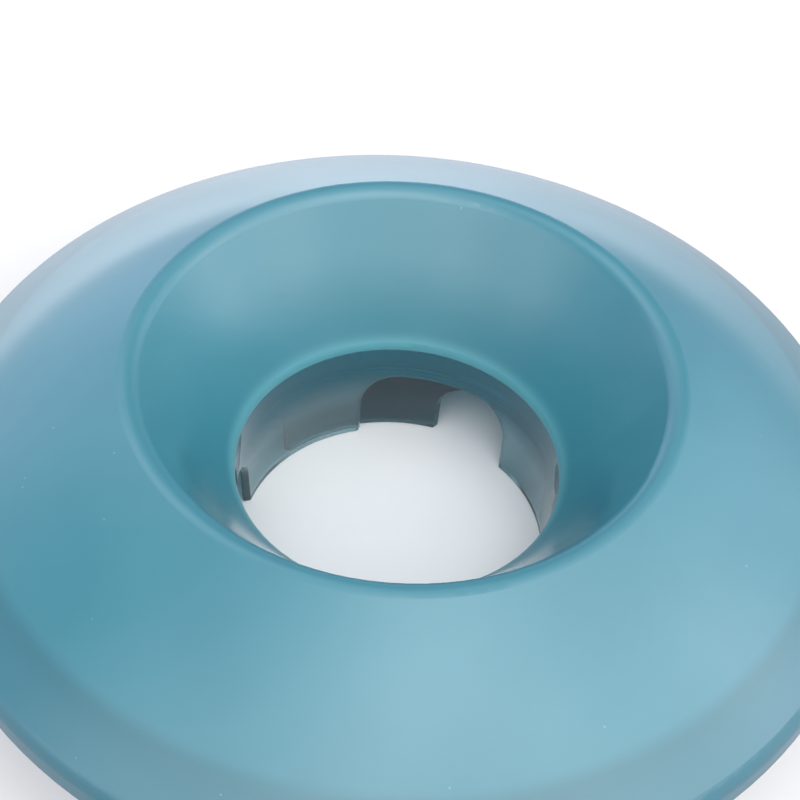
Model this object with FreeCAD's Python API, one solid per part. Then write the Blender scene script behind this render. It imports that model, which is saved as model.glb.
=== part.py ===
import FreeCAD, Part
import math
import os

# Rocking slow feeder bowl, in millimetres.
# Frame: +Z up, origin on the ground under the bowl's axis, so the lowest face
# of the foot lies in the plane z = 0. -Y is the side the bowl is looked at from.

V = FreeCAD.Vector
os.makedirs("parts", exist_ok=True)

# ---------------------------------------------------------------- sizes
OUTER_R = 115.0        # largest radius of the top shell
FLOOR_Z = 10.0         # top face of the tray's flat floor
COLLAR_H = 29.7        # collar's top edge above the floor
COLLAR_R_BOT = 38.0    # well radius at the floor
COLLAR_R_TOP = 39.6    # well radius at the collar's top edge
CREST_R = 64.8         # radius of the ridge between funnel and dome
CREST_H = 32.9         # ridge above the collar's top edge
CREST_ROUND = 4.2      # rounding over the ridge
EDGE_H = -2.6          # height of the largest radius, from the collar's top edge
EDGE_ROUND = 6.0       # rounding from the dome into the skirt
EDGE_SLOPE = 42.0      # dome slope where that rounding starts, degrees
SKIRT_H = -8.2         # lower edge of the skirt, from the collar's top edge
BEAD_ROUND = 4.0       # rounding from the funnel into the collar
SHELL_T = 2.2          # wall of dome, funnel and skirt
COLLAR_T = 2.0         # wall of the collar

ARCHES = 3             # openings round the collar, and the same number in the ring
ARCH_DEG = 59.0        # width of one opening
ARCH_AT = 76.5         # middle of the first collar opening
ARCH_H = 18.9          # height of a collar opening above the floor
ARCH_ROUND = 8.7       # rounding of its two upper corners
RING_AT = 47.0         # middle of the first ring opening at rest: half closed
RING_ARCH_H = 17.0     # height of a ring opening above the floor
RING_OPEN = 29.5       # turn of the ring that lines the openings up
RING_SHUT = -30.5      # turn of the ring that closes them

GAP = 0.3              # clearance between bodies that move
RING_T = 1.9           # wall of the gate ring
RING_TOP = -8.2        # ring's top edge, from the collar's top edge
GROOVE_LO, GROOVE_HI, GROOVE_DEEP = -9.95, -8.35, 0.62
BEAD_LO, BEAD_HI, BEAD_IN = -9.65, -8.65, 0.66

ROCK_R = 200.0         # radius of the ball shape the bowl rocks on
STAND_R = 15.0         # flat in the middle of the foot
FOOT_R = 50.0          # foot
FLOOR_T = 2.4          # tray floor
TRAY_T = 2.3           # tray wall
WALL_START_R = 87.0    # where the ball shape turns up into the tray's wall
WALL_ROUND = 24.6      # radius of that turn
WALL_SLOPE = 86.0      # slope of the wall above it, degrees
SEAT_H = 5.9           # height of the tray's rim, from the collar's top edge
RIB_R0, RIB_R1, RIB_H = 101.6, 103.6, -3.0   # locating rib under the dome

ZC = FLOOR_Z + COLLAR_H                      # collar's top edge
ZS = math.sqrt(ROCK_R ** 2 - STAND_R ** 2)   # centre of the ball shape


# ---------------------------------------------------------------- helpers
class Path:
    """Closed outline in the X-Z half plane, made of lines and arcs."""

    def __init__(self, r, z):
        self.start = self.at = (r, z)
        self.edges = []

    def line(self, r, z):
        if math.hypot(r - self.at[0], z - self.at[1]) > 1e-6:
            self.edges.append(Part.LineSegment(V(self.at[0], 0, self.at[1]), V(r, 0, z)).toShape())
        self.at = (r, z)
        return self

    def arc(self, centre, radius, a0, a1):
        """Arc of the given centre; angles in degrees from +r towards +z."""
        p = [(centre[0] + radius * math.cos(math.radians(a)), centre[1] + radius * math.sin(math.radians(a)))
             for a in (a0, 0.5 * (a0 + a1), a1)]
        self.line(*p[0])
        self.edges.append(Part.Arc(V(p[0][0], 0, p[0][1]), V(p[1][0], 0, p[1][1]), V(p[2][0], 0, p[2][1])).toShape())
        self.at = p[2]
        return self

    def corner(self, r, z, r2, z2, radius):
        """Line towards (r, z), rounded there on the way to (r2, z2)."""
        a = V(self.at[0] - r, 0, self.at[1] - z).normalize()
        b = V(r2 - r, 0, z2 - z).normalize()
        half = 0.5 * a.getAngle(b)
        t = radius / math.tan(half)
        p0 = V(r, 0, z) + a * t
        p1 = V(r, 0, z) + b * t
        mid = (a + b).normalize()
        pm = V(r, 0, z) + mid * (radius / math.sin(half) - radius)
        self.line(p0.x, p0.z)
        self.edges.append(Part.Arc(p0, pm, p1).toShape())
        self.at = (p1.x, p1.z)
        return self

    def bevel(self, r, z, r2, z2, size):
        """Line towards (r, z), cut off there by a bevel on the way to (r2, z2)."""
        a = V(self.at[0] - r, 0, self.at[1] - z).normalize() * size
        b = V(r2 - r, 0, z2 - z).normalize() * size
        self.line(r + a.x, z + a.z)
        return self.line(r + b.x, z + b.z)

    def solid(self):
        self.line(*self.start)
        face = Part.Face(Part.Wire(self.edges))
        body = face.revolve(V(0, 0, 0), V(0, 0, 1), 360)
        if body.Volume < 0:
            body.reverse()
        return body


def on_slope(centre, radius, slope):
    """Point of a convex top surface where it falls outwards by slope degrees."""
    s = math.radians(slope)
    return (centre[0] + radius * math.sin(s), centre[1] + radius * math.cos(s))


def arch_cutter(half_w, top, corner, r_in, r_out, angle):
    """Opening with two rounded upper corners, cut outwards through a wall."""
    lo = FLOOR_Z - 3.0
    y0, y1 = -half_w, half_w
    q = corner * (1 - math.sqrt(0.5))
    e = [
        Part.LineSegment(V(r_in, y0, lo), V(r_in, y0, top - corner)).toShape(),
        Part.Arc(V(r_in, y0, top - corner), V(r_in, y0 + q, top - q), V(r_in, y0 + corner, top)).toShape(),
        Part.LineSegment(V(r_in, y0 + corner, top), V(r_in, y1 - corner, top)).toShape(),
        Part.Arc(V(r_in, y1 - corner, top), V(r_in, y1 - q, top - q), V(r_in, y1, top - corner)).toShape(),
        Part.LineSegment(V(r_in, y1, top - corner), V(r_in, y1, lo)).toShape(),
        Part.LineSegment(V(r_in, y1, lo), V(r_in, y0, lo)).toShape(),
    ]
    tool = Part.Face(Part.Wire(e)).extrude(V(r_out - r_in, 0, 0))
    tool.rotate(V(0, 0, 0), V(0, 0, 1), angle)
    return tool


def soften(shape, radius, pick):
    """Rounds the edges that pick accepts; leaves the shape alone if it can't."""
    edges = [e for e in shape.Edges if pick(e)]
    try:
        out = shape.makeFillet(radius, edges)
        if out.isValid() and out.Volume > 0.9 * shape.Volume:
            return out
    except Exception as err:
        print("not rounded:", err)
    return shape


def arch_edge(e, r0, r1, top):
    """True for the curved edges round an arch, on either face of its wall."""
    b = e.BoundBox
    if b.ZMax > top + 0.1 or b.ZMax < FLOOR_Z + 1.5 or b.DiagonalLength < 3.0:
        return False
    if b.ZLength < 0.01 and b.ZMin < top - 0.1:
        return False
    return all(r0 < math.hypot(v.X, v.Y) < r1 for v in e.Vertexes)


def save(shape, name):
    if shape.ShapeType != "Solid" and len(shape.Solids) == 1:
        shape = shape.Solids[0]
    b = shape.BoundBox
    print(name, "solids", len(shape.Solids), "valid", shape.isValid(), "volume", round(shape.Volume, 1),
          "box", [round(v, 2) for v in (b.XMin, b.YMin, b.ZMin, b.XMax, b.YMax, b.ZMax)])
    shape.exportStep("parts/" + name + ".step")


# ---------------------------------------------------------------- curve of the top shell
crest_c = (CREST_R, CREST_H - CREST_ROUND)
edge_c = (OUTER_R - EDGE_ROUND, EDGE_H)
edge_p = on_slope(edge_c, EDGE_ROUND, EDGE_SLOPE)


def dome_arc():
    """Arc that leaves the ridge smoothly and meets the edge rounding smoothly."""
    lo, hi = -20.0, EDGE_SLOPE
    for _ in range(80):
        s0 = 0.5 * (lo + hi)
        p = on_slope(crest_c, CREST_ROUND, s0)
        chord = math.degrees(math.atan2(p[1] - edge_p[1], edge_p[0] - p[0]))
        if chord > 0.5 * (s0 + EDGE_SLOPE):
            lo = s0
        else:
            hi = s0
    p = on_slope(crest_c, CREST_ROUND, s0)
    length = math.hypot(edge_p[0] - p[0], edge_p[1] - p[1])
    radius = length / (2 * math.sin(math.radians(EDGE_SLOPE - s0) / 2))
    s = math.radians(s0)
    return s0, radius, (p[0] - radius * math.sin(s), p[1] - radius * math.cos(s))


S0, DOME_R, dome_c = dome_arc()
# funnel: straight from the collar's top edge, tangent to the ridge
dx, dz = crest_c[0] - COLLAR_R_TOP, crest_c[1]
dist = math.hypot(dx, dz)
FUNNEL = math.degrees(math.atan2(dz, dx) + math.asin(CREST_ROUND / dist))   # slope of the funnel
fs = math.radians(FUNNEL)
draft = math.degrees(math.atan2(COLLAR_R_TOP - COLLAR_R_BOT, COLLAR_H))
print("dome slope at ridge %.2f, dome radius %.2f, funnel slope %.2f, collar draft %.2f" % (S0, DOME_R, FUNNEL, draft))


def dome_z(r, off=0.0):
    """Height of the dome, or of the surface the wall's thickness below it."""
    R = DOME_R - off
    return dome_c[1] + math.sqrt(R * R - (r - dome_c[0]) ** 2)


def collar_in(z):
    return COLLAR_R_TOP + (COLLAR_R_TOP - COLLAR_R_BOT) * z / COLLAR_H


def collar_out(z):
    return collar_in(z) + COLLAR_T


def ring_in(z):
    return collar_out(z) + GAP


def up(p):
    return (p[0], p[1] + ZC)


# rounding between collar wall and funnel
dn = math.radians(draft)
# inner normals, towards the material: collar (cos, -sin), funnel (sin, -cos)
n_col = (math.cos(dn), -math.sin(dn))
n_fun = (math.sin(fs), -math.cos(fs))
bis = (n_col[0] + n_fun[0], n_col[1] + n_fun[1])
bl = math.hypot(*bis)
half = math.acos((n_col[0] * n_fun[0] + n_col[1] * n_fun[1])) / 2
bead_c = (COLLAR_R_TOP + bis[0] / bl * BEAD_ROUND / math.cos(half), bis[1] / bl * BEAD_ROUND / math.cos(half))
bead_a0 = 180 - draft + 0.0     # angle of the collar's tangent point from the centre
bead_a0 = math.degrees(math.atan2(-n_col[1], -n_col[0]))
bead_a1 = math.degrees(math.atan2(-n_fun[1], -n_fun[0]))

# ---------------------------------------------------------------- top shell
z_low = -COLLAR_H + GAP
t = SHELL_T
p = Path(*up((collar_in(-6.0), -6.0)))
p.arc(up(bead_c), BEAD_ROUND, bead_a0, bead_a1)
p.arc(up(crest_c), CREST_ROUND, 90 + FUNNEL, 90 - S0)
p.arc(up(dome_c), DOME_R, 90 - S0, 90 - EDGE_SLOPE)
p.arc(up(edge_c), EDGE_ROUND, 90 - EDGE_SLOPE, 0)
p.corner(*up((OUTER_R - 0.15, SKIRT_H)), *up((OUTER_R - 2.2, SKIRT_H)), 0.9)
p.bevel(*up((OUTER_R - t - 0.05, SKIRT_H)), *up((OUTER_R - t, EDGE_H)), 0.6)
p.arc(up(edge_c), EDGE_ROUND - t, 0, 90 - EDGE_SLOPE)
a_rib1 = math.degrees(math.acos((RIB_R1 + 0.6 - dome_c[0]) / (DOME_R - t)))
p.arc(up(dome_c), DOME_R - t, 90 - EDGE_SLOPE, a_rib1)
p.line(*up((RIB_R1, dome_z(RIB_R1 + 0.6, t) - 0.6)))
p.bevel(*up((RIB_R1, RIB_H)), *up((RIB_R0, RIB_H)), 0.5)
p.bevel(*up((RIB_R0, RIB_H)), *up((RIB_R0, SEAT_H)), 0.7)
p.line(*up((RIB_R0, SEAT_H + 0.05)))
p.line(*up((98.3, SEAT_H + 0.05)))
p.line(*up((97.6, dome_z(97.6, t))))
a_in = math.degrees(math.acos((97.6 - dome_c[0]) / (DOME_R - t)))
p.arc(up(dome_c), DOME_R - t, a_in, 90 - S0)
p.arc(up(crest_c), CREST_ROUND - t, 90 - S0, 90 + FUNNEL)
p.arc(up(bead_c), BEAD_ROUND - t, bead_a1, 180.0 - 0.0)
# collar's outer face, with the groove that carries the ring
z_top_out = bead_c[1]
p.line(*up((collar_out(-3.0), -3.0)))
p.line(*up((collar_out(GROOVE_HI), GROOVE_HI)))
p.line(*up((collar_out(GROOVE_HI) - GROOVE_DEEP, GROOVE_HI - 0.15)))
p.line(*up((collar_out(GROOVE_LO) - GROOVE_DEEP, GROOVE_LO + 0.15)))
p.line(*up((collar_out(GROOVE_LO), GROOVE_LO)))
p.line(*up((collar_out(z_low), z_low)))
p.line(*up((collar_in(z_low), z_low)))
shell = p.solid()
half_w = 0.5 * (COLLAR_R_BOT + 1.0 + COLLAR_R_TOP) * math.sin(math.radians(ARCH_DEG / 2))
for k in range(ARCHES):
    shell = shell.cut(arch_cutter(half_w, FLOOR_Z + ARCH_H, ARCH_ROUND, 15.0, 48.0, ARCH_AT + 360.0 / ARCHES * k))

shell = soften(shell, 0.45, lambda e: arch_edge(e, COLLAR_R_BOT - 0.5, 42.0, FLOOR_Z + ARCH_H))

# stop peg for the ring, under the funnel on the side nearest the viewer
PEG_AT, PEG_W = 270.0, 3.0
peg_r0, peg_r1 = 44.4, 46.8
peg = Part.makeBox(peg_r1 - peg_r0, PEG_W, 16.0, V(peg_r0, -PEG_W / 2, ZC - 12.0))
peg.rotate(V(0, 0, 0), V(0, 0, 1), PEG_AT)
# keep only what hangs below the middle of the funnel's wall
under = Path(*up((0.0, -60.0)))
cone_mid = lambda r: (r - COLLAR_R_TOP) * math.tan(fs) - 0.5 * t / math.cos(fs)
under.line(*up((0.0, cone_mid(peg_r0 - 2))))
under.line(*up((peg_r0 - 2, cone_mid(peg_r0 - 2))))
under.line(*up((peg_r1 + 2, cone_mid(peg_r1 + 2))))
under.line(*up((peg_r1 + 2, -60.0)))
peg = peg.common(under.solid())
shell = shell.fuse(peg).removeSplitter()
save(shell, "top_shell")

# ---------------------------------------------------------------- gate ring
zr0 = -COLLAR_H + GAP
p = Path(*up((ring_in(-11.2), -11.2)))
p.line(*up((ring_in(BEAD_LO - 0.15), BEAD_LO - 0.15)))
p.line(*up((ring_in(BEAD_LO) - BEAD_IN, BEAD_LO + 0.15)))
p.line(*up((ring_in(BEAD_HI) - BEAD_IN, BEAD_HI - 0.15)))
p.line(*up((ring_in(BEAD_HI + 0.15), BEAD_HI + 0.15)))
p.bevel(*up((ring_in(RING_TOP), RING_TOP)), *up((ring_in(RING_TOP) + RING_T, RING_TOP)), 0.2)
p.bevel(*up((ring_in(RING_TOP) + RING_T, RING_TOP)), *up((ring_in(zr0) + RING_T, zr0)), 0.4)
p.line(*up((ring_in(zr0) + RING_T, zr0)))
p.line(*up((ring_in(zr0), zr0)))
ring = p.solid()
half_r = (ring_in(-20.0) + 0.5 * RING_T) * math.sin(math.radians(ARCH_DEG / 2))
for k in range(ARCHES):
    ring = ring.cut(arch_cutter(half_r, FLOOR_Z + RING_ARCH_H, ARCH_ROUND, 20.0, 50.0, RING_AT + 360.0 / ARCHES * k))
ring = soften(ring, 0.35, lambda e: arch_edge(e, COLLAR_R_BOT + 1.5, 44.0, FLOOR_Z + RING_ARCH_H))
# two stop lugs that meet the peg at either end of the ring's turn
LUG_W, LUG_OUT = 3.0, 2.5
half_deg = math.degrees((PEG_W + LUG_W) / 2 / 45.6) + math.degrees(GAP / 45.6)
for a in (PEG_AT - RING_OPEN - half_deg, PEG_AT - RING_SHUT + half_deg):
    lug = Part.makeBox(LUG_OUT + 1.4, LUG_W, 3.0, V(ring_in(-10.0) + RING_T - 1.4, -LUG_W / 2, ZC + RING_TOP - 3.4))
    lug.rotate(V(0, 0, 0), V(0, 0, 1), a)
    lug = lug.cut(Part.makeCylinder(ring_in(-10) + 0.6, 60.0, V(0, 0, 0)))
    ring = ring.fuse(lug)
ring = ring.removeSplitter()
save(ring, "gate_ring")


# ---------------------------------------------------------------- food tray
def ball(r, off=0.0):
    """Height of the rocking surface, or of the surface off inside it."""
    return ZS - math.sqrt((ROCK_R - off) ** 2 - r * r)


def ball_slope(r, off=0.0):
    return math.degrees(math.asin(r / (ROCK_R - off)))


LEDGE = FLOOR_Z - FLOOR_T              # ceiling of the foot's seat
a0 = ball_slope(WALL_START_R)
s = math.radians(a0)
wall_c = (WALL_START_R - WALL_ROUND * math.sin(s), ball(WALL_START_R) + WALL_ROUND * math.cos(s))
w = math.radians(WALL_SLOPE)
end_out = (wall_c[0] + WALL_ROUND * math.sin(w), wall_c[1] - WALL_ROUND * math.cos(w))
z_rim = ZC + SEAT_H
rim_out = end_out[0] + (z_rim - end_out[1]) / math.tan(w)
end_in = (wall_c[0] + (WALL_ROUND - TRAY_T) * math.sin(w), wall_c[1] - (WALL_ROUND - TRAY_T) * math.cos(w))
rim_in = end_in[0] + (z_rim - end_in[1]) / math.tan(w)
flat_r = math.sqrt((ROCK_R - TRAY_T) ** 2 - (ZS - FLOOR_Z) ** 2)
print("rim radius %.2f, flat floor radius %.2f, slope at wall start %.1f" % (rim_out, flat_r, a0))
SEAT_R = FOOT_R + 0.15
STEM_R0, STEM_R1, STEM_LO = 33.0, 35.0, 3.9

p = Path(0.0, LEDGE)
p.line(STEM_R0, LEDGE)
p.line(STEM_R0 + 0.15, STEM_LO + 0.3)
p.line(STEM_R0 + 0.45, STEM_LO)
p.line(STEM_R1 - 0.45, STEM_LO)
p.line(STEM_R1 - 0.15, STEM_LO + 0.3)
p.line(STEM_R1, LEDGE)
p.line(SEAT_R, LEDGE)
p.line(SEAT_R, ball(SEAT_R + 0.4) + 0.3)
p.line(SEAT_R + 0.4, ball(SEAT_R + 0.4))
p.arc((0.0, ZS), ROCK_R, -90 + ball_slope(SEAT_R + 0.4), -90 + a0)
p.arc(wall_c, WALL_ROUND, -90 + a0, -90 + WALL_SLOPE)
p.corner(rim_out, z_rim, rim_in, z_rim, 0.5)
p.bevel(rim_in, z_rim, end_in[0], end_in[1], 0.7)
p.arc(wall_c, WALL_ROUND - TRAY_T, -90 + WALL_SLOPE, -90 + a0)
p.arc((0.0, ZS), ROCK_R - TRAY_T, -90 + a0, -90 + ball_slope(flat_r, TRAY_T))
p.line(0.0, FLOOR_Z)
tray = p.solid()
save(tray, "food_tray")

# ---------------------------------------------------------------- rocker foot
p = Path(0.0, 0.0)
p.line(STAND_R, 0.0)
a_f = ball_slope(FOOT_R - 0.4)
p.arc((0.0, ZS), ROCK_R, -90 + ball_slope(STAND_R), -90 + a_f)
p.line(FOOT_R, ball(FOOT_R - 0.4) + 0.4)
p.line(FOOT_R, LEDGE)
p.line(STEM_R1, LEDGE)
p.line(STEM_R1 - 0.15, STEM_LO + 0.3)
p.line(STEM_R1 - 0.15, STEM_LO - 0.6)
p.line(STEM_R0 + 0.15, STEM_LO - 0.6)
p.line(STEM_R0 + 0.15, STEM_LO + 0.3)
p.line(STEM_R0, LEDGE)
p.line(0.0, LEDGE)
foot = p.solid()
save(foot, "rocker_foot")
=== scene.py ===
import math

import bpy
from mathutils import Matrix, Vector

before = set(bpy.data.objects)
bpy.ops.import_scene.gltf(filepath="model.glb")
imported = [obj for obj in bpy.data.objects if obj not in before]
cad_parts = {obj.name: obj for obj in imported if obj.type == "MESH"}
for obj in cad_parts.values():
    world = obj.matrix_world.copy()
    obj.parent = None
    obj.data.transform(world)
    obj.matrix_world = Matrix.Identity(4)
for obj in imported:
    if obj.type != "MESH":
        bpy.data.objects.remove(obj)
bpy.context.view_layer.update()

scene = bpy.context.scene
scene.view_settings.view_transform = "Standard"
scene.view_settings.look = "None"
scene.view_settings.exposure = 0.0
scene.view_settings.gamma = 1.0

# ------------------------------------------------------------ camera
# Stands in front of the bowl (-Y), about 49 degrees above the level of the
# well, half a metre from the middle of the collar's top edge.
ELEV, DIST, LENS = 0.8479965594858088, 0.500, 92.384
ROLL, YAW, PITCH = 0.0778759170267205, 0.00123301602293445, -0.030540450039729886
COLLAR_TOP = 0.0397

right = Vector((1, 0, 0))
back = Vector((0, -math.cos(ELEV), math.sin(ELEV)))
up = Vector((0, math.sin(ELEV), math.cos(ELEV)))
fwd = -back
ex = right * math.cos(YAW) + fwd * math.sin(YAW)
ez = -right * math.sin(YAW) + fwd * math.cos(YAW)
ey = up * math.cos(PITCH) + ez * math.sin(PITCH)
ez = -up * math.sin(PITCH) + ez * math.cos(PITCH)
cx = ex * math.cos(ROLL) + ey * math.sin(ROLL)
cy = -ex * math.sin(ROLL) + ey * math.cos(ROLL)
cz = -ez
loc = Vector((0, 0, COLLAR_TOP)) + back * DIST
cam_data = bpy.data.cameras.new("camera")
cam_data.lens = LENS
cam_data.sensor_width = 36.0
cam_data.sensor_fit = "HORIZONTAL"
cam_data.clip_start = 0.02
cam_data.clip_end = 60.0
cam = bpy.data.objects.new("camera", cam_data)
cam.matrix_world = Matrix(((cx.x, cy.x, cz.x, loc.x), (cx.y, cy.y, cz.y, loc.y), (cx.z, cy.z, cz.z, loc.z), (0, 0, 0, 1)))
scene.collection.objects.link(cam)
scene.camera = cam


# ------------------------------------------------------------ helpers
def srgb(r, g, b):
    out = []
    for v in (r, g, b):
        v = v / 255.0
        out.append(v / 12.92 if v <= 0.04045 else ((v + 0.055) / 1.055) ** 2.4)
    return (out[0], out[1], out[2], 1.0)


def new_material(name):
    m = bpy.data.materials.new(name)
    m.use_nodes = True
    nt = m.node_tree
    nt.nodes.clear()
    out = nt.nodes.new("ShaderNodeOutputMaterial")
    p = nt.nodes.new("ShaderNodeBsdfPrincipled")
    nt.links.new(p.outputs[0], out.inputs[0])
    return m, nt, p


def node(nt, kind, inputs=None, **attrs):
    n = nt.nodes.new(kind)
    for k, v in attrs.items():
        setattr(n, k, v)
    for k, v in (inputs or {}).items():
        n.inputs[k].default_value = v
    return n


def ramp(nt, source, stops, interpolation="LINEAR"):
    r = nt.nodes.new("ShaderNodeValToRGB")
    r.color_ramp.interpolation = interpolation
    e = r.color_ramp.elements
    while len(e) > 1:
        e.remove(e[-1])
    e[0].position, e[0].color = stops[0]
    for pos, col in stops[1:]:
        s = e.new(pos)
        s.color = col
    nt.links.new(source, r.inputs[0])
    return r


def grey(v):
    return (v, v, v, 1.0)


# ------------------------------------------------------------ materials
def mix_colour(nt, factor, a, b):
    """Colour between a and b, each a fixed colour or a socket."""
    n = node(nt, "ShaderNodeMix", data_type="RGBA")
    nt.links.new(factor, n.inputs["Factor"])
    for key, v in (("A", a), ("B", b)):
        if isinstance(v, tuple):
            n.inputs[key].default_value = v
        else:
            nt.links.new(v, n.inputs[key])
    return n.outputs["Result"]


def step_between(nt, source, low, high, start=0.0, end=1.0):
    n = node(nt, "ShaderNodeMapRange", {"From Min": low, "From Max": high, "To Min": start, "To Max": end})
    n.interpolation_type = "SMOOTHSTEP"
    nt.links.new(source, n.inputs["Value"])
    return n.outputs[0]


def place(nt):
    """Object coordinates, height, and distance from the upright axis, in metres."""
    tc = node(nt, "ShaderNodeTexCoord")
    sep = node(nt, "ShaderNodeSeparateXYZ")
    nt.links.new(tc.outputs["Object"], sep.inputs[0])
    flat = node(nt, "ShaderNodeVectorMath", operation="MULTIPLY")
    flat.inputs[1].default_value = (1, 1, 0)
    nt.links.new(tc.outputs["Object"], flat.inputs[0])
    dist = node(nt, "ShaderNodeVectorMath", operation="LENGTH")
    nt.links.new(flat.outputs[0], dist.inputs[0])
    return tc.outputs["Object"], sep.outputs["Z"], dist.outputs["Value"]


def cut_edges(nt, at):
    """1 on faces that don't look towards or away from the upright axis, such as the cut edges of the gates."""
    radial = node(nt, "ShaderNodeVectorMath", operation="MULTIPLY")
    radial.inputs[1].default_value = (1, 1, 0)
    nt.links.new(at, radial.inputs[0])
    unit = node(nt, "ShaderNodeVectorMath", operation="NORMALIZE")
    nt.links.new(radial.outputs[0], unit.inputs[0])
    tc = node(nt, "ShaderNodeTexCoord")
    dot = node(nt, "ShaderNodeVectorMath", operation="DOT_PRODUCT")
    nt.links.new(tc.outputs["Normal"], dot.inputs[0])
    nt.links.new(unit.outputs[0], dot.inputs[1])
    size = node(nt, "ShaderNodeMath", operation="ABSOLUTE")
    nt.links.new(dot.outputs["Value"], size.inputs[0])
    return step_between(nt, size.outputs[0], 0.30, 0.75, 1.0, 0.0)


def specks(nt, at, scale, size, share):
    """Sparse round specks: 1 inside one, 0 elsewhere; share of the cells that have one."""
    v = node(nt, "ShaderNodeTexVoronoi", {"Scale": scale, "Randomness": 1.0})
    nt.links.new(at, v.inputs["Vector"])
    dot = node(nt, "ShaderNodeMath", {1: size}, operation="LESS_THAN")
    nt.links.new(v.outputs["Distance"], dot.inputs[0])
    pick = node(nt, "ShaderNodeSeparateXYZ")
    nt.links.new(v.outputs["Color"], pick.inputs[0])
    few = node(nt, "ShaderNodeMath", {1: share}, operation="LESS_THAN")
    nt.links.new(pick.outputs["X"], few.inputs[0])
    both = node(nt, "ShaderNodeMath", operation="MULTIPLY")
    nt.links.new(dot.outputs[0], both.inputs[0])
    nt.links.new(few.outputs[0], both.inputs[1])
    return both.outputs[0]


def plastic_shell():
    """Tinted see-through plastic of the top shell: satin frosted on dome, funnel and lip, polished and clear on the
    upright wall of the well. Painted shade darkens the skirt where it hangs free of the white tray, a painted highlight
    lightens the lip, painted light of the white floor pales the lower wall, and painted highlights light the cut edges
    of the gates."""
    m, nt, p = new_material("frosted_blue_plastic")
    L = nt.links
    at, height, dist = place(nt)
    # 1 on the polished wall, 0 on the frosted skin
    wall = node(nt, "ShaderNodeMath", operation="MULTIPLY")
    L.new(step_between(nt, height, 0.0383, 0.0390, 1.0, 0.0), wall.inputs[0])
    L.new(step_between(nt, dist, 0.0435, 0.0440, 1.0, 0.0), wall.inputs[1])
    wall = wall.outputs[0]
    cloud = node(nt, "ShaderNodeTexNoise", {"Scale": 34.0, "Detail": 3.0, "Roughness": 0.5})
    L.new(at, cloud.inputs["Vector"])
    colour = mix_colour(nt, step_between(nt, cloud.outputs["Fac"], 0.32, 0.68), TINT, TINT_DEEP)
    # painted shade: the skirt turns darker where it hangs free of the white tray, with no white behind it and shade
    # below
    skirt = step_between(nt, dist, 0.1000, 0.1035)
    colour = mix_colour(nt, skirt, colour, SKIRT_PAINTED_SHADE)
    # painted highlight: lighter colour along the lip, standing in for light caught on its rounded edge
    lip = node(nt, "ShaderNodeMath", operation="MULTIPLY")
    L.new(step_between(nt, dist, 0.0400, 0.0425, 1.0, 0.0), lip.inputs[0])
    L.new(step_between(nt, height, 0.0400, 0.0450, 1.0, 0.0), lip.inputs[1])
    colour = mix_colour(nt, lip.outputs[0], colour, LIP_PAINTED_HIGHLIGHT)
    dust = specks(nt, at, 190.0, 0.055, 0.10)
    lint = node(nt, "ShaderNodeMath", {1: 0.3}, operation="MULTIPLY")
    L.new(dust, lint.inputs[0])
    colour = mix_colour(nt, lint.outputs[0], colour, (0.55, 0.66, 0.70, 1))
    # painted light: the wall turns pale low down, standing in for the white floor seen through it; the plastic there is
    # also made clearer
    clear = step_between(nt, height, WALL_CLEARS[0], WALL_CLEARS[1])
    # painted highlight: the cut edges of the gates are lighter
    pane = mix_colour(nt, cut_edges(nt, at), mix_colour(nt, clear, WALL_LOW_PAINTED_LIGHT, WALL_HIGH), EDGE_PAINTED_HIGHLIGHT)
    colour = mix_colour(nt, wall, colour, pane)
    L.new(colour, p.inputs["Base Color"])
    # faint rub marks, in the frosting and on the wall
    rub = node(nt, "ShaderNodeTexNoise", {"Scale": 11.0, "Detail": 4.0, "Roughness": 0.65, "Distortion": 0.6})
    L.new(at, rub.inputs["Vector"])
    fine = node(nt, "ShaderNodeTexNoise", {"Scale": 70.0, "Detail": 5.0, "Distortion": 1.2})
    L.new(at, fine.inputs["Vector"])
    skin = step_between(nt, rub.outputs["Fac"], 0.35, 0.70, ROUGH_SKIN + 0.04, ROUGH_SKIN - 0.05)
    polish = step_between(nt, fine.outputs["Fac"], 0.35, 0.75, 0.015, 0.045)
    rough = node(nt, "ShaderNodeMix", data_type="FLOAT")
    L.new(wall, rough.inputs["Factor"])
    L.new(skin, rough.inputs["A"])
    L.new(polish, rough.inputs["B"])
    L.new(rough.outputs["Result"], p.inputs["Roughness"])
    through = node(nt, "ShaderNodeMix", data_type="FLOAT")
    L.new(wall, through.inputs["Factor"])
    through.inputs["A"].default_value = 0.46
    L.new(step_between(nt, height, WALL_CLEARS[0], WALL_CLEARS[1], 0.93, 0.62), through.inputs["B"])
    L.new(through.outputs["Result"], p.inputs["Transmission Weight"])
    p.inputs["IOR"].default_value = 1.5
    # gloss of the skin, weaker low in the funnel, none on the wall, which is glossy by itself
    low = node(nt, "ShaderNodeMapRange", {"From Min": 0.046, "From Max": 0.059, "To Min": 0.08, "To Max": 1.0})
    L.new(height, low.inputs["Value"])
    far = node(nt, "ShaderNodeMapRange", {"From Min": 0.064, "From Max": 0.067, "To Min": 0.0, "To Max": 1.0})
    L.new(dist, far.inputs["Value"])
    coat = node(nt, "ShaderNodeMath", operation="MAXIMUM")
    L.new(low.outputs[0], coat.inputs[0])
    L.new(far.outputs[0], coat.inputs[1])
    bare = node(nt, "ShaderNodeMath", operation="MULTIPLY")
    L.new(coat.outputs[0], bare.inputs[0])
    L.new(step_between(nt, wall, 0.0, 1.0, 1.0, 0.0), bare.inputs[1])
    L.new(bare.outputs[0], p.inputs["Coat Weight"])
    p.inputs["Coat Roughness"].default_value = 0.20
    p.inputs["Coat IOR"].default_value = 1.5
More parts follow.
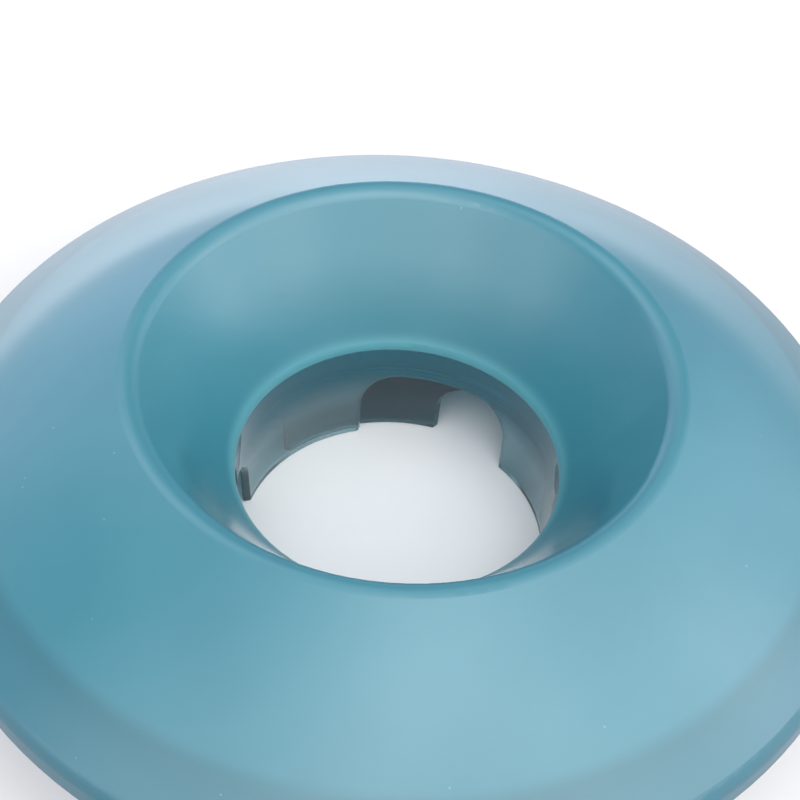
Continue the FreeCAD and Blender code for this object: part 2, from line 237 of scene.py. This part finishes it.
    # fine spark-eroded texture of the mould
    grain = node(nt, "ShaderNodeTexNoise", {"Scale": 2600.0, "Detail": 2.0, "Roughness": 0.6})
    L.new(at, grain.inputs["Vector"])
    bump = node(nt, "ShaderNodeBump", {"Strength": 0.07, "Distance": 0.0001})
    L.new(step_between(nt, wall, 0.0, 1.0, 0.07, 0.0), bump.inputs["Strength"])
    L.new(grain.outputs["Fac"], bump.inputs["Height"])
    L.new(bump.outputs[0], p.inputs["Normal"])
    return m


def plastic_ring():
    """Smoky see-through plastic of the gate ring: polished, darker towards its closed upper edge, as painted light of
    the white floor pales it low down; painted highlights light its cut edges.
    """
    m, nt, p = new_material("blue_ring_plastic")
    L = nt.links
    at, height, dist = place(nt)
    cloud = node(nt, "ShaderNodeTexNoise", {"Scale": 45.0, "Detail": 3.0})
    L.new(at, cloud.inputs["Vector"])
    # painted light: paler low down, standing in for the white floor seen through the ring
    tone = step_between(nt, height, 0.0105, 0.0270)
    colour = mix_colour(nt, tone, RING_LOW_PAINTED_LIGHT, RING_HIGH)
    vary = step_between(nt, cloud.outputs["Fac"], 0.3, 0.7, 0.0, 0.25)
    colour = mix_colour(nt, vary, colour, RING_HIGH)
    # painted highlight on the ring's cut edges
    colour = mix_colour(nt, cut_edges(nt, at), colour, EDGE_PAINTED_HIGHLIGHT)
    L.new(colour, p.inputs["Base Color"])
    rub = node(nt, "ShaderNodeTexNoise", {"Scale": 60.0, "Detail": 4.0, "Distortion": 1.0})
    L.new(at, rub.inputs["Vector"])
    L.new(step_between(nt, rub.outputs["Fac"], 0.35, 0.7, 0.03, 0.08), p.inputs["Roughness"])
    p.inputs["Transmission Weight"].default_value = 0.88
    p.inputs["IOR"].default_value = 1.5
    grain = node(nt, "ShaderNodeTexNoise", {"Scale": 500.0, "Detail": 2.0})
    L.new(at, grain.inputs["Vector"])
    bump = node(nt, "ShaderNodeBump", {"Strength": 0.02, "Distance": 0.0001})
    L.new(grain.outputs["Fac"], bump.inputs["Height"])
    L.new(bump.outputs[0], p.inputs["Normal"])
    return m


def plastic_white():
    m, nt, p = new_material("white_tray_plastic")
    L = nt.links
    tc = node(nt, "ShaderNodeTexCoord")
    cloud = node(nt, "ShaderNodeTexNoise", {"Scale": 30.0, "Detail": 3.0})
    L.new(tc.outputs["Object"], cloud.inputs["Vector"])
    r = ramp(nt, cloud.outputs["Fac"], [(0.3, srgb(233, 238, 240)), (0.7, srgb(238, 242, 244))])
    L.new(r.outputs[0], p.inputs["Base Color"])
    grain = node(nt, "ShaderNodeTexNoise", {"Scale": 1800.0, "Detail": 2.0})
    L.new(tc.outputs["Object"], grain.inputs["Vector"])
    rr = ramp(nt, grain.outputs["Fac"], [(0.3, grey(0.30)), (0.7, grey(0.42))])
    L.new(rr.outputs[0], p.inputs["Roughness"])
    bump = node(nt, "ShaderNodeBump", {"Strength": 0.05, "Distance": 0.0001})
    L.new(grain.outputs["Fac"], bump.inputs["Height"])
    L.new(bump.outputs[0], p.inputs["Normal"])
    return m


def rubber_foot():
    m, nt, p = new_material("foot_rubber")
    L = nt.links
    tc = node(nt, "ShaderNodeTexCoord")
    n1 = node(nt, "ShaderNodeTexNoise", {"Scale": 60.0, "Detail": 4.0})
    L.new(tc.outputs["Object"], n1.inputs["Vector"])
    r = ramp(nt, n1.outputs["Fac"], [(0.3, srgb(86, 100, 108)), (0.7, srgb(98, 112, 120))])
    L.new(r.outputs[0], p.inputs["Base Color"])
    n2 = node(nt, "ShaderNodeTexNoise", {"Scale": 2200.0, "Detail": 3.0})
    L.new(tc.outputs["Object"], n2.inputs["Vector"])
    rr = ramp(nt, n2.outputs["Fac"], [(0.3, grey(0.62)), (0.7, grey(0.8))])
    L.new(rr.outputs[0], p.inputs["Roughness"])
    bump = node(nt, "ShaderNodeBump", {"Strength": 0.25, "Distance": 0.0001})
    L.new(n2.outputs["Fac"], bump.inputs["Height"])
    L.new(bump.outputs[0], p.inputs["Normal"])
    return m


TINT, TINT_DEEP = (0.058, 0.328, 0.422, 1), (0.050, 0.308, 0.402, 1)
# painted shade for the free-hanging skirt, and a painted highlight for the lip
SKIRT_PAINTED_SHADE, LIP_PAINTED_HIGHLIGHT = (0.040, 0.245, 0.325, 1), (0.150, 0.520, 0.610, 1)
# the wall's low colour is painted light of the white floor behind it
WALL_LOW_PAINTED_LIGHT, WALL_HIGH, WALL_CLEARS = (0.460, 0.700, 0.760, 1), (0.006, 0.205, 0.290, 1), (0.018, 0.031)
# the ring's low colour is painted light of the white floor below
RING_LOW_PAINTED_LIGHT, RING_HIGH = (0.16, 0.29, 0.34, 1), (0.060, 0.140, 0.180, 1)
# painted highlight colour for the cut edges of the gates
EDGE_PAINTED_HIGHLIGHT = (0.220, 0.620, 0.700, 1)
ROUGH_SKIN = 0.47
shell_mat = plastic_shell()
ring_mat = plastic_ring()
white_mat = plastic_white()
foot_mat = rubber_foot()
for name, mat in (("top_shell", shell_mat), ("gate_ring", ring_mat), ("food_tray", white_mat), ("rocker_foot", foot_mat)):
    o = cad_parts[name]
    o.data.materials.clear()
    o.data.materials.append(mat)

# ------------------------------------------------------------ floor, lights
# Plain pale floor. What the picture shows of it is a light ground with the bowl's soft shadow; what it sends
# to the bowl is set apart, as a darker ground with bright patches behind and on the left, as from lamps near the floor.
floor_mesh = bpy.data.meshes.new("floor")
S = 6.0
floor_mesh.from_pydata([(-S, -S, 0), (S, -S, 0), (S, S, 0), (-S, S, 0)], [], [(0, 1, 2, 3)])
floor = bpy.data.objects.new("floor", floor_mesh)
scene.collection.objects.link(floor)
fm, nt, p = new_material("floor_white")
p.inputs["Base Color"].default_value = (0.20, 0.20, 0.20, 1)
p.inputs["Roughness"].default_value = 0.6
FLOOR_GLOW = (0.116, 0.137, 0.181)
POOLS = (
    (0.32, 0, 0.11, (0.21, 0.22, 0.25)), (0.32, 90, 0.11, (0.16, 0.17, 0.20)), (0.32, 135, 0.11, (0.15, 0.17, 0.19)),
    (0.32, 180, 0.11, (0.09, 0.10, 0.11)), (0.32, 315, 0.11, (0.19, 0.19, 0.21)), (0.85, 0, 0.30, (0.08, 0.10, 0.13)),
    (0.85, 45, 0.30, (0.12, 0.14, 0.19)), (0.85, 90, 0.30, (1.87, 1.90, 2.04)), (0.85, 135, 0.30, (1.95, 1.96, 2.07)),
    (0.85, 180, 0.30, (0.75, 0.75, 0.79)), (0.85, 315, 0.30, (0.02, 0.02, 0.03)),
)
tc = node(nt, "ShaderNodeTexCoord")
glow = None
for far, az, size, power in POOLS:
    off = node(nt, "ShaderNodeVectorMath", operation="DISTANCE")
    off.inputs[1].default_value = (far * math.cos(math.radians(az)), far * math.sin(math.radians(az)), 0)
    nt.links.new(tc.outputs["Object"], off.inputs[0])
    sq = node(nt, "ShaderNodeMath", {1: 2.0}, operation="POWER")
    nt.links.new(off.outputs["Value"], sq.inputs[0])
    ms = node(nt, "ShaderNodeMath", {1: -0.5 / size ** 2}, operation="MULTIPLY")
    nt.links.new(sq.outputs[0], ms.inputs[0])
    fall = node(nt, "ShaderNodeMath", operation="EXPONENT")
    nt.links.new(ms.outputs[0], fall.inputs[0])
    add = node(nt, "ShaderNodeVectorMath", operation="MULTIPLY_ADD")
    add.inputs[1].default_value = power
    nt.links.new(fall.outputs[0], add.inputs[0])
    if glow is None:
        add.inputs[2].default_value = FLOOR_GLOW
    else:
        nt.links.new(glow.outputs[0], add.inputs[2])
    glow = add
nt.links.new(glow.outputs[0], p.inputs["Emission Color"])
p.inputs["Emission Strength"].default_value = 1.0
ground = node(nt, "ShaderNodeBsdfPrincipled", {"Base Color": (0.60, 0.60, 0.60, 1), "Roughness": 0.7,
                                               "Emission Color": (1, 1, 1, 1), "Emission Strength": 0.150})
seen = node(nt, "ShaderNodeLightPath")
pick = node(nt, "ShaderNodeMixShader")
nt.links.new(seen.outputs["Is Camera Ray"], pick.inputs[0])
nt.links.new(p.outputs[0], pick.inputs[1])
nt.links.new(ground.outputs[0], pick.inputs[2])
nt.links.new(pick.outputs[0], next(n for n in nt.nodes if n.type == "OUTPUT_MATERIAL").inputs[0])
floor_mesh.materials.append(fm)

# Studio light as round soft lobes on the sky: elevation, azimuth in degrees (0 = +X, 90 = +Y),
# sharpness, and red, green, blue strength at the middle.
LOBES = (
    (9, 0, 26, (1.70, 1.73, 1.85)), (9, 30, 26, (0.93, 1.00, 1.17)), (9, 60, 26, (0.38, 0.45, 0.59)),
    (9, 90, 26, (0.48, 0.57, 0.75)), (9, 120, 26, (1.09, 1.27, 1.64)), (9, 150, 26, (0.86, 0.99, 1.29)),
    (9, 180, 26, (0.58, 0.67, 0.86)), (9, 210, 26, (1.28, 1.33, 1.46)), (9, 240, 26, (1.35, 1.35, 1.42)),
    (9, 270, 26, (0.75, 0.74, 0.74)), (9, 300, 26, (0.71, 0.70, 0.69)), (9, 330, 26, (1.56, 1.55, 1.61)),
    (30, 0, 22, (2.27, 2.25, 2.31)), (30, 36, 22, (1.01, 1.04, 1.13)), (30, 144, 22, (0.50, 0.57, 0.70)),
    (30, 216, 22, (1.32, 1.31, 1.35)), (30, 252, 22, (1.72, 1.68, 1.67)), (30, 288, 22, (1.37, 1.32, 1.26)),
    (30, 324, 22, (2.06, 2.01, 2.00)), (52, 0, 20, (1.04, 1.00, 0.97)), (52, 45, 20, (0.27, 0.27, 0.27)),
    (52, 90, 20, (0.52, 0.55, 0.61)), (52, 135, 20, (1.77, 1.82, 1.97)), (52, 180, 20, (0.17, 0.17, 0.17)),
    (52, 225, 20, (0.83, 0.81, 0.79)), (52, 270, 20, (2.27, 2.24, 2.26)), (52, 315, 20, (1.82, 1.77, 1.75)),
    (74, 0, 20, (1.08, 1.06, 1.05)), (74, 72, 20, (0.55, 0.52, 0.49)), (74, 216, 20, (0.07, 0.07, 0.07)),
    (74, 288, 20, (1.89, 1.88, 1.95)),
)
world = bpy.data.worlds.new("studio")
scene.world = world
world.use_nodes = True
wn = world.node_tree
wn.nodes.clear()
wo = wn.nodes.new("ShaderNodeOutputWorld")
sky = wn.nodes.new("ShaderNodeTexCoord")
total = None
for el, az, sharp, power in LOBES:
    ce = math.cos(math.radians(el))
    dot = node(wn, "ShaderNodeVectorMath", operation="DOT_PRODUCT")
    dot.inputs[1].default_value = (ce * math.cos(math.radians(az)), ce * math.sin(math.radians(az)), math.sin(math.radians(el)))
    wn.links.new(sky.outputs["Generated"], dot.inputs[0])
    arg = node(wn, "ShaderNodeMath", {1: sharp, 2: -sharp}, operation="MULTIPLY_ADD")
    wn.links.new(dot.outputs["Value"], arg.inputs[0])
    fall = node(wn, "ShaderNodeMath", operation="EXPONENT")
    wn.links.new(arg.outputs[0], fall.inputs[0])
    add = node(wn, "ShaderNodeVectorMath", operation="MULTIPLY_ADD")
    add.inputs[1].default_value = power
    wn.links.new(fall.outputs[0], add.inputs[0])
    if total is None:
        add.inputs[2].default_value = (0, 0, 0)
    else:
        wn.links.new(total.outputs[0], add.inputs[2])
    total = add
lit = node(wn, "ShaderNodeBackground", {"Strength": 1.0})
wn.links.new(total.outputs[0], lit.inputs["Color"])
plain = node(wn, "ShaderNodeBackground", {"Color": (1, 1, 1, 1), "Strength": 1.0})
path = node(wn, "ShaderNodeLightPath")
both = node(wn, "ShaderNodeMixShader")
wn.links.new(path.outputs["Is Camera Ray"], both.inputs[0])
wn.links.new(lit.outputs[0], both.inputs[1])
wn.links.new(plain.outputs[0], both.inputs[2])
wn.links.new(both.outputs[0], wo.inputs[0])
